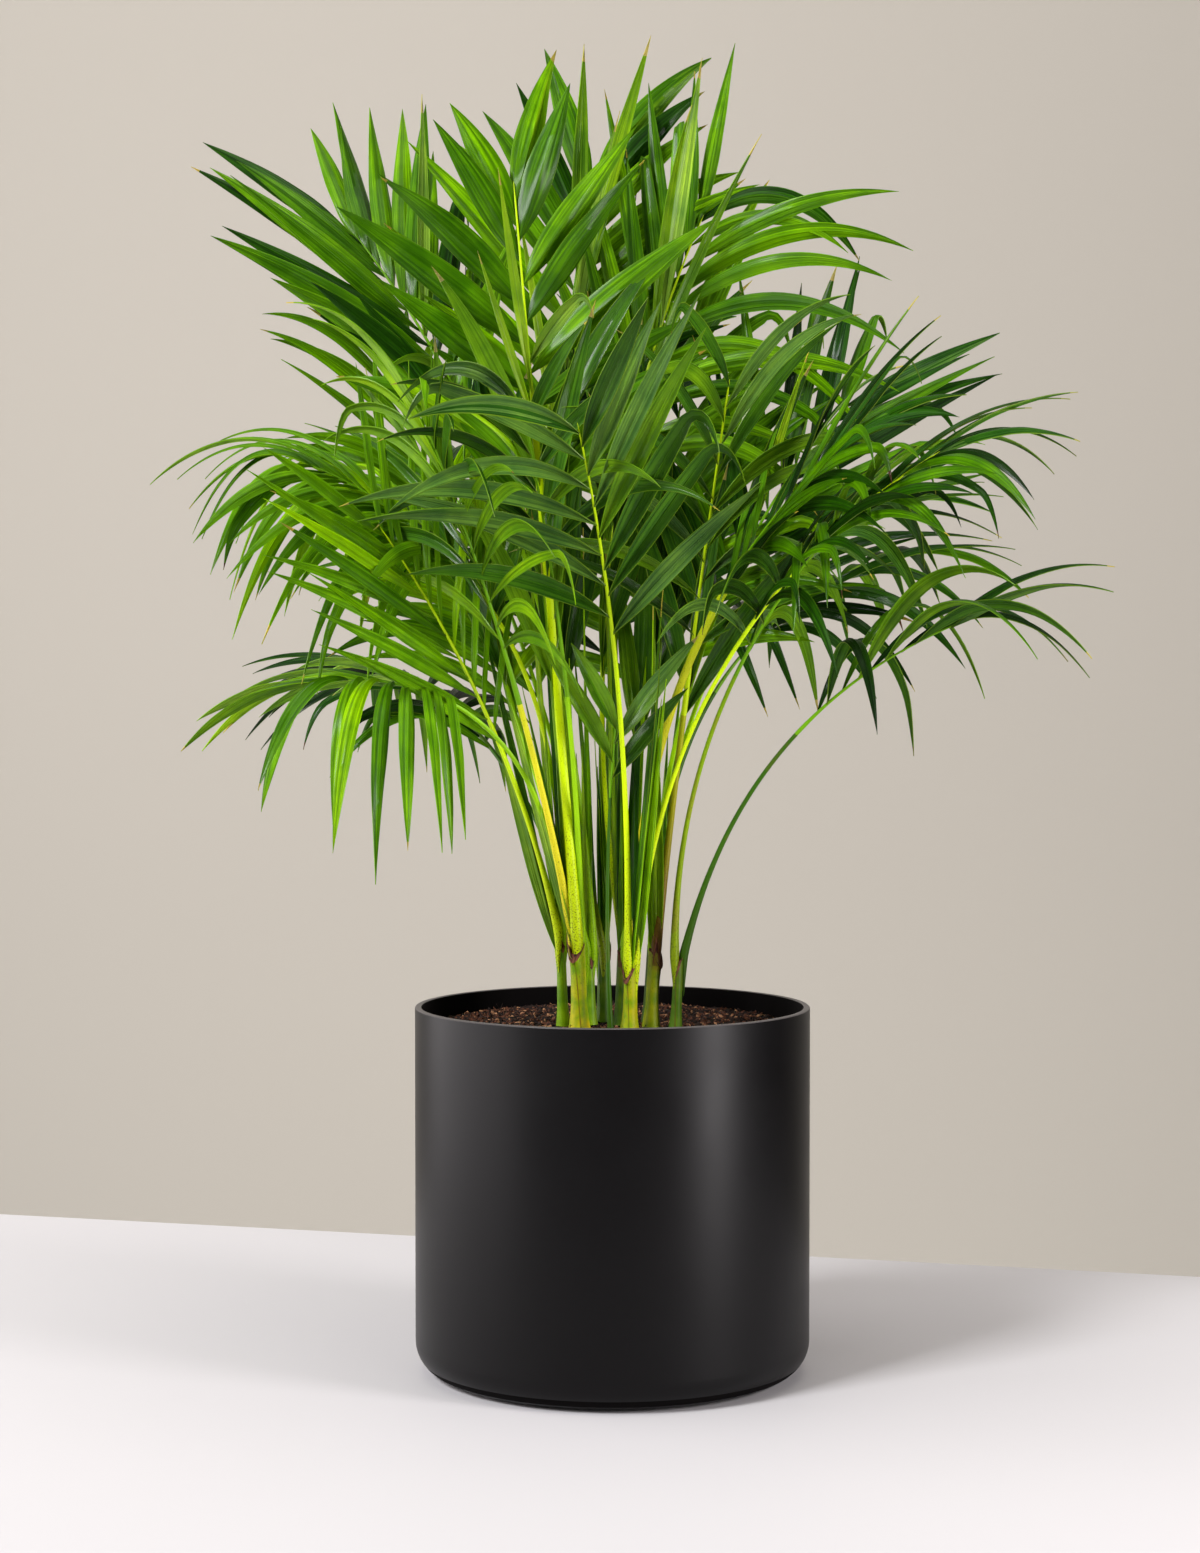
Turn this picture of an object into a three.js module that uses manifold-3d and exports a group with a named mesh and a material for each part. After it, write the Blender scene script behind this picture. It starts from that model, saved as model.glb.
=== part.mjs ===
// A potted areca palm: a clump of short canes in a plain cylinder pot, each forked into
// slender stalks, and each stalk carrying one arching feathered frond.
// Millimetres, +Z up, +X to the right and -Y to the front. The origin is the centre of the
// pot's flat underside.
import * as THREE from "three";
import { mergeVertices } from "three/addons/utils/BufferGeometryUtils.js";
import Module from "manifold-3d";

const wasm = await Module();
wasm.setup();

// Pot and potting mix
const potAcross = 216;
const potTall = 200;
const potWall = 3.7;
const potFloor = 6;
const footRound = 17.5;
const rimRound = 0.9;
const potSides = 40;
const roundSteps = 2;
const gap = 0.3;
const soilTop = 189;
const soilFlat = 48;
const soilEdgeDrop = 1.5;

// Canes: short ringed stems, wider over the lowest fifth and over the last third below the fork
const caneSides = 8;
const caneSteps = 5;
const caneFlare = 0.25;
const caneFork = 0.12;
const canes = {
  a: { at: [-27, -4], lean: [-1.5, 0], tall: 51, stout: 4.0 },
  b: { at: [-18, -17], lean: [-1, 0], tall: 47, stout: 4.4 },
  c: { at: [-12, 2], lean: [-1, 1], tall: 41, stout: 4.0 },
  d: { at: [-5, 16], lean: [0, 2], tall: 39, stout: 4.0 },
  f: { at: [9, -23], lean: [1, -1], tall: 36, stout: 4.4 },
  g: { at: [21, -9], lean: [1.5, 0], tall: 43, stout: 4.2 },
  h: { at: [34, -15], lean: [2, -1], tall: 39, stout: 4.0 },
  i: { at: [4, 0], lean: [1, 1], tall: 41, stout: 4.0 },
  j: { at: [20, 11], lean: [2, 2], tall: 43, stout: 4.0 },
};

// Stalks: radius at the foot, at the neck where the leaflets start and at the tip, how far each
// one's foot sits from the middle of its cane, and how much slimmer the young one is
const stalkFoot = 1.75;
const stalkNeck = 1.45;
const ribTip = 0.8;
const seatOut = 2.6;
const youngSlim = 0.7;
const stalkSides = 5;
const stalkSteps = 6;
const ribSides = 4;
const ribSteps = 6;

// Fronds: each one's cane and seat on it, the points its rib passes at the neck and at the tip,
// and what sets it apart from the usual frond. Angles are in degrees, and droop is the pull on
// the leaflets of the left and of the right side.
const usual = {
  pairs: 9,
  long: 128,
  wide: 14,
  spread: [55, 24],
  lift: 12,
  droop: [0.3, 0.3],
  roll: 0,
  skew: 0,
  tilt: 25,
};
const fronds = [
  { cane: "b", seat: 270, neck: [-41, -24, 505], tip: [-54, 8, 650], wide: 17, long: 122,
    roll: -40, droop: [0.1, 0.1], spread: [66, 8] },
  { cane: "c", seat: 20, neck: [-88, 40, 540], tip: [-147, 80, 633], wide: 15, long: 145,
    roll: -35, lift: 15, droop: [0.1, 0.1], spread: [40, 14] },
  { cane: "d", seat: 270, neck: [-29, 55, 519], tip: [-10, 95, 670], wide: 17, long: 135,
    lift: 15, droop: [0.12, 0.2], spread: [50, 22] },
  { cane: "i", seat: 60, neck: [10, 40, 512], tip: [52, 70, 642], wide: 13, long: 150,
    roll: 25, lift: 15, skew: 12, droop: [0.1, 0.6], spread: [42, 20] },
  { cane: "g", seat: 110, neck: [64, 20, 430], tip: [135, 60, 537], long: 135,
    roll: 50, lift: 15, droop: [0.1, 0.1], spread: [42, 20] },
  { cane: "h", seat: 20, neck: [104, -40, 356], tip: [186, -70, 410], pairs: 7, long: 140,
    wide: 15, roll: 5, lift: 62, droop: [0.8, 0.8], spread: [36, 16] },
  { cane: "h", seat: 200, neck: [68, -40, 386], tip: [128, -66, 470], pairs: 7, long: 115,
    wide: 13, lift: 30, droop: [0.9, 0.9], spread: [62, 26] },
  { cane: "f", seat: 225, neck: [0, -70, 399], tip: [-18, -140, 505], pairs: 7, long: 140,
    wide: 14, roll: 10, skew: 9, droop: [0.1, 0.4], spread: [50, 38] },
  { cane: "a", seat: 250, neck: [-65, -34, 354], tip: [-122, -60, 458], long: 155,
    roll: -60, lift: 8, droop: [0.06, 0.06], spread: [44, 34] },
  { cane: "a", seat: 10, neck: [-91, -66, 369], tip: [-152, -95, 378], pairs: 8, long: 120,
    roll: -10, lift: 15, droop: [2.2, 0.5], spread: [75, 30] },
  { cane: "a", seat: 130, neck: [-90, -14, 446], tip: [-160, -38, 492], pairs: 10, long: 140,
    wide: 14, roll: -35, droop: [1.0, 1.0], spread: [45, 25] },
  { cane: "b", seat: 150, neck: [-52, -57, 376], tip: [-98, -112, 515], pairs: 10, long: 125,
    roll: -20, droop: [0.5, 0.5], spread: [60, 25] },
  { cane: "g", seat: 300, neck: [40, -8, 370], tip: [61, -62, 535], pairs: 10, long: 125, wide: 15,
    droop: [0.5, 0.5], spread: [60, 25] },
  { cane: "f", seat: 70, neck: [66, -32, 436], tip: [122, -62, 504], pairs: 8, long: 125,
    roll: 30, spread: [50, 20] },
  { cane: "f", seat: 340, neck: [82, -64, 420], tip: [166, -104, 494], long: 132, wide: 13,
    roll: 25, droop: [0.6, 0.6], spread: [45, 22] },
  { cane: "i", seat: 300, neck: [19, 28, 366], tip: [45, 88, 580], pairs: 11, long: 130,
    wide: 15, spread: [60, 22] },
  { cane: "c", seat: 250, neck: [-64, 23, 390], tip: [-126, 60, 548], pairs: 11, long: 125,
    roll: -20, spread: [55, 22] },
  { cane: "b", seat: 30, neck: [-25, -55, 378], tip: [-47, -124, 520], pairs: 9, long: 110,
    wide: 15, droop: [0.5, 0.5], spread: [60, 25] },
  { cane: "d", seat: 50, neck: [-5, 78, 390], tip: [14, 190, 562], wide: 15, long: 130, pairs: 10,
    lift: 15, spread: [60, 25] },
  { cane: "d", seat: 160, neck: [-56, 90, 410], tip: [-108, 196, 510], wide: 15, long: 130,
    lift: 15, spread: [60, 25] },
  { cane: "j", seat: 60, neck: [68, 80, 405], tip: [158, 176, 486], wide: 15, long: 130,
    lift: 15, spread: [60, 25] },
  { cane: "j", seat: 330, neck: [62, 46, 378], tip: [165, 105, 452], pairs: 8, wide: 15, long: 125,
    lift: 20, droop: [0.7, 0.7], spread: [58, 25] },
  { cane: "c", seat: 140, neck: [-84, 66, 356], tip: [-150, 142, 385], pairs: 8, wide: 14,
    long: 112, lift: 20, droop: [0.8, 0.8], spread: [60, 25] },
];

// The young frond at the front stands on a thin stalk of its own, straight from the soil
const sucker = { from: [-1, -31], neck: [-1, -36, 320], tip: [2, -44, 360], pairs: 2, long: 78,
  wide: 12, spread: [34, 22], droop: [0.1, 0.1] };

// Leaflets: the steps of a stiff and of a limp one, where along it the full width comes, its
// thickness as a share of its length, and its width and thickness at the root as shares
const stiffSteps = 2;
const limpSteps = 3;
const limpFrom = 0.4;
const lineSteps = 12;
const earlyBelly = 1.3;
const blade = 0.016;
const rootWidth = 0.06;
const rootRidge = 0.25;
const rootSwell = 3;
const pointedness = 2.2;
const rootOut = 0.2;

// The two leaflets of a pair are staggered along the rib, and the lowest and topmost leaflets
// are shorter than the longest
const stagger = 0.22;
const shortest = 0.72;
const longestShift = 0.15;

// How leaflets differ among themselves: a least value and the range above it, and the number
// that sets this draw apart from the others
const vary = {
  place: { draw: 0, least: -0.125, range: 0.25 },
  opening: { draw: 31, least: -6, range: 12 },
  lift: { draw: 57, least: -8, range: 16 },
  long: { draw: 83, least: 0.84, range: 0.26 },
  wide: { draw: 5, least: 0.85, range: 0.25 },
  droop: { draw: 11, least: 0.5, range: 1.1 },
};

// The room kept round a leaflet, and the turns in degrees that it tries to find that room
const clear = 0.35;
const swings = [0, 7, -7, 14, -14, 21, -21];

// A frond's upper side faces up and in towards the clump
const faceUp = 0.6;
const faceIn = 0.8;

const weld = 1e-3;
const skins = {
  pot: [0x2b2829, 0.5],
  soil: [0x3a2117, 0.95],
  cane: [0x9aa83a, 0.55],
  stalk: [0xa9bf1e, 0.45],
  frond: [0x4f8412, 0.5],
};
const up = new THREE.Vector3(0, 0, 1);
const palm = new THREE.Group();

// A seeded number from 0 to 1
function chance(seed) {
  const wave = Math.sin(seed * 12.9898) * 43758.5453;
  return wave - Math.floor(wave);
}

function varied(seed, { draw, least, range }) {
  return least + range * chance(seed + draw);
}

function radians(degrees) {
  return (degrees * Math.PI) / 180;
}

// A closed geometry as a solid, with its seams merged and its collapsed faces dropped
function solidOf(geometry) {
  const bare = geometry.clone();
  bare.deleteAttribute("normal");
  bare.deleteAttribute("uv");
  const whole = mergeVertices(bare, weld);
  const corners = whole.index.array;
  const kept = [];
  for (let i = 0; i < corners.length; i += 3) {
    const [a, b, c] = [corners[i], corners[i + 1], corners[i + 2]];
    if (a !== b && b !== c && a !== c) kept.push(a, b, c);
  }
  return new wasm.Manifold(
    new wasm.Mesh({
      numProp: 3,
      vertProperties: new Float32Array(whole.attributes.position.array),
      triVerts: new Uint32Array(kept),
    }),
  );
}

function addNode(name, skin, solid) {
  const made = solid.getMesh();
  const geometry = new THREE.BufferGeometry();
  geometry.setAttribute("position", new THREE.BufferAttribute(made.vertProperties, 3));
  geometry.setIndex(new THREE.BufferAttribute(made.triVerts, 1));
  geometry.computeVertexNormals();
  const [color, roughness] = skins[skin];
  const mesh = new THREE.Mesh(
    geometry,
    new THREE.MeshStandardMaterial({ color, roughness, metalness: 0 }),
  );
  mesh.name = name;
  palm.add(mesh);
}

// A straight cylinder of unit radius and height bent to its place: move(along, across, out) gives
// each vertex
function bent(geometry, move) {
  const position = geometry.attributes.position;
  const vertex = new THREE.Vector3();
  for (let i = 0; i < position.count; i += 1) {
    vertex.fromBufferAttribute(position, i);
    const moved = move(vertex.y + 0.5, vertex.x, vertex.z);
    position.setXYZ(i, moved.x, moved.y, moved.z);
  }
  return solidOf(geometry);
}

// The pot: a turned profile with straight sides, a rounded foot and a thin rim
function potSolid() {
  const outer = potAcross / 2;
  const profile = new THREE.Path();
  profile.moveTo(0, 0);
  profile.lineTo(outer - footRound, 0);
  profile.absarc(outer - footRound, footRound, footRound, -Math.PI / 2, 0, false);
  profile.lineTo(outer, potTall - rimRound);
  profile.lineTo(outer - rimRound, potTall);
  profile.lineTo(outer - potWall, potTall);
  profile.lineTo(outer - potWall, potFloor + footRound - potWall);
  profile.absarc(
    outer - footRound,
    potFloor + footRound - potWall,
    footRound - potWall,
    0,
    -Math.PI / 2,
    true,
  );
  profile.lineTo(0, potFloor);
  return turned(profile.getPoints(roundSteps));
}

// The potting mix: it fills the pot and is a little mounded round the clump
function soilSolid() {
  const edge = potAcross / 2 - potWall - gap;
  const corner = footRound - potWall;
  const profile = new THREE.Path();
  profile.moveTo(0, potFloor + gap);
  profile.lineTo(edge - corner, potFloor + gap);
  profile.absarc(edge - corner, potFloor + gap + corner, corner, -Math.PI / 2, 0, false);
  profile.lineTo(edge, soilTop - soilEdgeDrop);
  profile.quadraticCurveTo((edge + soilFlat) / 2, soilTop, soilFlat, soilTop);
  profile.lineTo(0, soilTop);
  return turned(profile.getPoints(roundSteps));
}

// A profile from the axis to the axis, turned about +Z
function turned(points) {
  const apart = points.filter((p, i) => i === 0 || p.distanceTo(points[i - 1]) > weld);
  const shape = new THREE.LatheGeometry(apart, potSides);
  shape.rotateX(Math.PI / 2);
  return solidOf(shape);
}

function caneTop({ at, lean, tall }) {
  return new THREE.Vector3(at[0] + lean[0], at[1] + lean[1], soilTop + gap + tall);
}

// A cane: a short leaning stem from a flat foot on the soil to its fork
function caneSolid(cane) {
  const foot = new THREE.Vector3(cane.at[0], cane.at[1], soilTop + gap);
  const top = caneTop(cane);
  return bent(new THREE.CylinderGeometry(1, 1, 1, caneSides, caneSteps), (along, x, z) => {
    const flare = Math.max(0, 1 - along * 5) * caneFlare;
    const fork = Math.max(0, along * 3 - 2) * caneFork;
    const radius = cane.stout * (1 + flare + fork);
    const middle = foot.clone().lerp(top, along);
    return new THREE.Vector3(middle.x + x * radius, middle.y - z * radius, middle.z);
  });
}

// A frond's line: one smooth curve from the foot of its stalk through its neck to its tip
function lineOf(foot, neck, tip) {
  const below = foot.distanceTo(neck);
  const above = neck.distanceTo(tip);
  const share = below / (below + above);
  const knee = neck
    .clone()
    .addScaledVector(foot, -((1 - share) ** 2))
    .addScaledVector(tip, -(share ** 2))
    .divideScalar(2 * share * (1 - share));
  const curve = new THREE.QuadraticBezierCurve3(foot, knee, tip);
  return { curve, share, total: below + above };
}

// The frame of a frond at a point of its line: heading, the side that faces up and inwards, and
// the direction across
function frameAt(frond, t) {
  const heading = frond.curve.getTangent(t);
  const outward = frond.tip.clone().sub(frond.foot).setZ(0).normalize();
  const face = up.clone().multiplyScalar(faceUp).addScaledVector(outward, -faceIn);
  face.addScaledVector(heading, -face.dot(heading)).normalize();
  face.applyAxisAngle(heading, radians(frond.roll));
  const across = heading.clone().cross(face);
  return { heading, face, across };
}

// A tapering limb along a frond's line, between two shares of it. A turn sets its sides square
// to the frond, and a flat foot stands level on the cane.
function limbSolid(frond, limb) {
  const { start, end, radii, sides, steps, turn, flatFoot } = limb;
  return bent(new THREE.CylinderGeometry(1, 1, 1, sides, steps), (along, x, z) => {
    const t = THREE.MathUtils.lerp(start, end, along);
    const { heading, face, across } = frameAt(frond, t);
    const offset = across.multiplyScalar(x).addScaledVector(face, z);
    offset.applyAxisAngle(heading, turn);
    offset.multiplyScalar(THREE.MathUtils.lerp(radii[0], radii[1], along));
    if (flatFoot && along === 0) offset.setZ(0);
    return frond.curve.getPoint(t).add(offset);
  });
}

// Where a leaflet stands on its rib: the lowest pair's place is near 0 and the topmost near 1
function placeOf(frond, pair, side, seed) {
  const shift = stagger * side + varied(seed, vary.place);
  return THREE.MathUtils.clamp((pair + 0.5 + shift) / frond.pairs, 0, 1);
}

// One leaflet's root, direction, length, width and droop, from its place on the frond. Side is -1
// on the left and 1 on the right, and swing turns it up or down.
function leafletOf(frond, pair, side, swing) {
  const seed = frond.number * 100 + pair * 2 + (side > 0 ? 1 : 0);
  const place = placeOf(frond, pair, side, seed);
  const t = THREE.MathUtils.lerp(frond.share, 1, place);
  const { heading, face, across } = frameAt(frond, t);
  const [widest, closest] = frond.spread;
  const opened = THREE.MathUtils.lerp(widest, closest, place) + side * frond.skew;
  const opening = radians(opened + varied(seed, vary.opening));
  const lift = radians(frond.lift + swing + varied(seed, vary.lift));
  const sideways = across.clone().multiplyScalar(side * Math.cos(lift));
  sideways.addScaledVector(face, Math.sin(lift));
  const direction = heading.clone().multiplyScalar(Math.cos(opening));
  direction.addScaledVector(sideways, Math.sin(opening)).normalize();
  const front = face.clone().multiplyScalar(Math.cos(lift));
  front.addScaledVector(across, -side * Math.sin(lift)).normalize();
  front.applyAxisAngle(direction, radians(side * frond.tilt));
  const bulge = Math.sin(Math.PI * Math.min(1, place + longestShift));
  const fullness = shortest + (1 - shortest) * bulge;
  return {
    root: frond.curve.getPoint(t).addScaledVector(across, side * rootOut),
    direction,
    front,
    long: frond.long * fullness * varied(seed, vary.long),
    wide: frond.wide * varied(seed, vary.wide),
    droop: frond.droop[side < 0 ? 0 : 1] * varied(seed, vary.droop),
  };
}

// A vector's part square to a heading
function squareTo(heading, vector) {
  return vector.clone().addScaledVector(heading, -vector.dot(heading)).normalize();
}

// A leaflet's middle line, which starts in its own direction and bends down with its weight, and
// its upper side along the line, which turns with the bend
function leafletLine({ root, direction, front, long, droop }) {
  const line = [{ point: root, side: front }];
  for (let i = 0; i < lineSteps; i += 1) {
    const pull = (2 * droop * (i + 0.5)) / lineSteps;
    const step = direction.clone().addScaledVector(up, -pull).normalize();
    const point = line[i].point.clone().addScaledVector(step, long / lineSteps);
    line.push({ point, side: squareTo(step, line[i].side) });
  }
  return line;
}

// A leaflet's direction, its side that faces up and the direction across, at a step of its line
function leafletFrame(line, at) {
  const before = line[Math.max(at - 1, 0)].point;
  const after = line[Math.min(at + 1, lineSteps)].point;
  const heading = after.clone().sub(before).normalize();
  const face = squareTo(heading, line[at].side);
  return { heading, face, across: heading.clone().cross(face) };
}

// A leaflet: a blade with a three-sided section, narrow at the root and long at the point. Extra
// makes it larger all round, to try whether it has room.
function leafletSolid(leaflet, extra) {
  const line = leafletLine(leaflet);
  const ridge = leaflet.long * blade + extra;
  const steps = leaflet.droop < limpFrom ? stiffSteps : limpSteps;
  return bent(new THREE.CylinderGeometry(1, 1, 1, 3, steps), (share, x, z) => {
    const at = Math.round(share ** earlyBelly * lineSteps);
    const along = at / lineSteps;
    const { heading, face, across } = leafletFrame(line, at);
    const middle = line[at].point.clone();
    if (along === 1) return middle.addScaledVector(heading, extra);
    const half = (leaflet.wide / 2) * bladeWidth(along) + extra;
    const height = (z / 1.5) * ridge * Math.min(1, rootRidge + rootSwell * along);
    const sideways = (x / Math.sin(Math.PI / 3)) * half;
    return middle.addScaledVector(across, sideways).addScaledVector(face, height);
  });
}

// The share of its full width that a leaflet has at a share of its length
function bladeWidth(along) {
  return Math.min(1, rootWidth + rootSwell * along) * (1 - along ** pointedness);
}

function boxOf(solid) {
  const { min, max } = solid.boundingBox();
  return new THREE.Box3(new THREE.Vector3(...min), new THREE.Vector3(...max));
}

// What is placed so far, by node, so that nothing later is put through it
const placed = [];

function keep(owner, solid) {
  placed.push({ owner, solid, box: boxOf(solid) });
}

function touches(owner, solid) {
  const box = boxOf(solid);
  const near = placed.filter((other) => other.owner !== owner && other.box.intersectsBox(box));
  return near.some((other) => !solid.intersect(other.solid).isEmpty());
}

// A frond's own copy of its row, with its line worked out
function plan(row, index) {
  const number = index + 1;
  const frond = { ...usual, ...row, number, label: String(number).padStart(2, "0") };
  frond.neck = new THREE.Vector3(...row.neck);
  frond.tip = new THREE.Vector3(...row.tip);
  if (row.cane) {
    const seat = radians(row.seat);
    const out = new THREE.Vector3(Math.cos(seat), Math.sin(seat), 0).multiplyScalar(seatOut);
    frond.foot = caneTop(canes[row.cane]).add(out).setZ(caneTop(canes[row.cane]).z + gap);
  } else {
    frond.foot = new THREE.Vector3(row.from[0], row.from[1], soilTop + gap);
  }
  return Object.assign(frond, lineOf(frond.foot, frond.neck, frond.tip));
}

// A frond's stalk, and its rib from the neck to the tip
function growLimbs(frond) {
  const slim = frond.cane ? 1 : youngSlim;
  const stalk = limbSolid(frond, {
    start: 0,
    end: frond.share - gap / frond.total,
    radii: [slim * stalkFoot, slim * stalkNeck],
    sides: stalkSides,
    steps: stalkSteps,
    turn: 0,
    flatFoot: true,
  });
  frond.rib = limbSolid(frond, {
    start: frond.share,
    end: 1,
    radii: [slim * stalkNeck, slim * ribTip],
    sides: ribSides,
    steps: ribSteps,
    turn: Math.PI / ribSides,
    flatFoot: false,
  });
  addNode(`stalk_${frond.label}`, "stalk", stalk);
  keep(`stalk_${frond.label}`, stalk);
  keep(`frond_${frond.label}`, frond.rib);
}

// Leaflets in pairs from the neck to the tip. One that would touch a limb or another frond swings
// up or down a little, and is left out where no swing clears it.
function growLeaflets(frond) {
  const name = `frond_${frond.label}`;
  const parts = [frond.rib];
  for (let pair = 0; pair < frond.pairs; pair += 1) {
    for (const side of [-1, 1]) {
      const grownAt = (swing, extra) => leafletSolid(leafletOf(frond, pair, side, swing), extra);
      const swing = swings.find((turn) => !touches(name, grownAt(turn, clear)));
      if (swing === undefined) continue;
      const leaflet = grownAt(swing, 0);
      parts.push(leaflet);
      keep(name, leaflet);
    }
  }
  addNode(name, "frond", wasm.Manifold.union(parts));
}

function place(name, skin, solid) {
  addNode(name, skin, solid);
  keep(name, solid);
}

place("pot", "pot", potSolid());
place("soil", "soil", soilSolid());
for (const [letter, cane] of Object.entries(canes)) place(`cane_${letter}`, "cane", caneSolid(cane));

// All stalks and ribs come before the leaflets, so that no leaflet runs into one
const grown = [...fronds, sucker].map(plan);
grown.forEach(growLimbs);
grown.forEach(growLeaflets);

export default palm;
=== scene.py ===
# A potted areca palm: a clump of sheathed canes and long green stalks in a matte black pot,
# with one arching feathered frond on each stalk. Lengths are given in millimetres.
import math
import random

import bmesh
import bpy
from mathutils import Matrix, Vector, noise


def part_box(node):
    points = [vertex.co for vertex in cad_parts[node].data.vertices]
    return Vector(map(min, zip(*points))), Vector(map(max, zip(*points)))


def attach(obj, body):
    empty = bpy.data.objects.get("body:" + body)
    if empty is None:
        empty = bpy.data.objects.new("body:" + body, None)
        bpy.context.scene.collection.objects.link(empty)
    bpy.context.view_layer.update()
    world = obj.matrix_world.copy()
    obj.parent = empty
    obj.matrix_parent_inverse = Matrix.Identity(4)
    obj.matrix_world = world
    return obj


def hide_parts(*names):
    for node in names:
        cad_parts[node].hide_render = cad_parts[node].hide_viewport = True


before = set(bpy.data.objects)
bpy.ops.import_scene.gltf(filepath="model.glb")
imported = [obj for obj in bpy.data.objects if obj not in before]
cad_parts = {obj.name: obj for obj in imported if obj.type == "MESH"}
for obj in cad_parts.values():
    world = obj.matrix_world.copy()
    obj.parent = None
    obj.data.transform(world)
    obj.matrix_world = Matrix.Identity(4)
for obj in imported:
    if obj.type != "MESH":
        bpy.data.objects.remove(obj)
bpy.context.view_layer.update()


# The pot
# A slip-cast stoneware cylinder with straight sides, a rounded foot and a thin rim. It is dipped
# in a matte black glaze, and a paler line along the top of the rim is a painted highlight.
MM = 0.001
pot_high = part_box("pot")[1]
pot_radius = pot_high[0] / MM
pot_height = pot_high[2] / MM
pot_wall = 3.7
pot_floor = 6
pot_foot_round = 17.5
pot_rim_round = 0.9
pot_sides = 160
foot_steps = 10
rim_steps = 4
inner_steps = 6
# How far down from the top the painted rim highlight reaches.
rim_highlight_band = 0.5
glaze_lap = 0.2


class Value:
    """A socket of a finish's nodes, which adds and multiplies like a number."""

    def __init__(self, finish, socket):
        self.finish = finish
        self.socket = socket

    def math(self, operation, first, second=0.0):
        return self.finish.node("ShaderNodeMath", {"operation": operation}, {0: first, 1: second})

    def __add__(self, other):
        return self.math("ADD", self, other)

    def __sub__(self, other):
        return self.math("SUBTRACT", self, other)

    def __rsub__(self, other):
        return self.math("SUBTRACT", other, self)

    def __mul__(self, other):
        return self.math("MULTIPLY", self, other)

    def __pow__(self, other):
        return self.math("POWER", self, other)

    def __gt__(self, other):
        return self.math("GREATER_THAN", self, other)

    def __abs__(self):
        return self.math("ABSOLUTE", self)

    __radd__ = __add__
    __rmul__ = __mul__


class Finish:
    """A material whose nodes are added one call at a time."""

    def __init__(self, name, fixed):
        self.material = bpy.data.materials.new(name)
        self.material.use_nodes = True
        self.tree = self.material.node_tree
        self.surface = self.tree.nodes["Principled BSDF"]
        for socket, value in fixed.items():
            self.surface.inputs[socket].default_value = value

    def node(self, kind, settings, sockets, output=0):
        made = self.tree.nodes.new(kind)
        for setting, value in settings.items():
            setattr(made, setting, value)
        for socket, value in sockets.items():
            if isinstance(value, Value):
                self.tree.links.new(value.socket, made.inputs[socket])
            else:
                made.inputs[socket].default_value = value
        return Value(self, made.outputs[output])

    def feed(self, sockets):
        for socket, value in sockets.items():
            self.tree.links.new(value.socket, self.surface.inputs[socket])

    def place(self, output="Object"):
        return self.node("ShaderNodeTexCoord", {}, {}, output)

    def part(self, vector, axis):
        """One of a vector's three parts, X, Y or Z."""
        return self.node("ShaderNodeSeparateXYZ", {}, {0: vector}, axis)

    def grain(self, size, stretch=(1, 1, 1), detail=2.0):
        """Noise from 0 to 1 whose patches are about size millimetres across."""
        spread = {0: self.place(), 1: [1 / (size * MM) * s for s in stretch]}
        scaled = self.node("ShaderNodeVectorMath", {"operation": "MULTIPLY"}, spread)
        return self.node("ShaderNodeTexNoise", {}, {"Vector": scaled, "Scale": 1.0, "Detail": detail})

    def mix(self, mask, low, high):
        return self.node("ShaderNodeMix", {"data_type": "RGBA"}, {0: mask, 6: low, 7: high}, 2)

    def shade(self, color, amount):
        color = color if isinstance(color, Value) else color[:3]
        return self.node("ShaderNodeVectorMath", {"operation": "SCALE"}, {0: color, "Scale": amount})

    def span(self, value, low, high):
        """A value's place between low and high, from 0 to 1."""
        return self.node("ShaderNodeMapRange", {}, {"Value": value, "From Min": low, "From Max": high})

    def relief(self, height, distance, strength):
        sockets = {"Height": height, "Distance": distance * MM, "Strength": strength}
        return self.node("ShaderNodeBump", {}, sockets)


def tone(red, green, blue):
    """A colour as a screen shows it, made linear."""
    shares = [channel / 255 for channel in (red, green, blue)]
    linear = [((s + 0.055) / 1.055) ** 2.4 if s > 0.0404 else s / 12.92 for s in shares]
    return (*linear, 1.0)


def arc(centre, radius, start, end, steps):
    """The points of an arc from one angle to another, in degrees."""
    turns = [math.radians(start + (end - start) * i / steps) for i in range(steps + 1)]
    return [(centre[0] + radius * math.cos(a), centre[1] + radius * math.sin(a)) for a in turns]


def turned(profile, sides):
    """A profile of (radius, height) points from the axis to the axis, spun about it."""
    mesh = bmesh.new()
    points = [mesh.verts.new((r * MM, 0, z * MM)) for r, z in profile]
    for first, second in zip(points, points[1:]):
        mesh.edges.new((first, second))
    whole = mesh.verts[:] + mesh.edges[:]
    bmesh.ops.spin(mesh, geom=whole, axis=(0, 0, 1), angle=math.tau, steps=sides, use_merge=True)
    bmesh.ops.remove_doubles(mesh, verts=mesh.verts[:], dist=1e-6)
    bmesh.ops.recalc_face_normals(mesh, faces=mesh.faces[:])
    return mesh


def mesh_data(name, mesh):
    """A finished mesh's data under a name, with the mesh itself freed."""
    data = bpy.data.meshes.new(name)
    mesh.to_mesh(data)
    mesh.free()
    return data


def move_into(whole, part):
    """Adds a small mesh to a larger one, and frees it."""
    data = mesh_data("part", part)
    whole.from_mesh(data)
    bpy.data.meshes.remove(data)


def in_scene(name, data):
    """A new object in the scene."""
    made = bpy.data.objects.new(name, data)
    bpy.context.scene.collection.objects.link(made)
    return made


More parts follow.
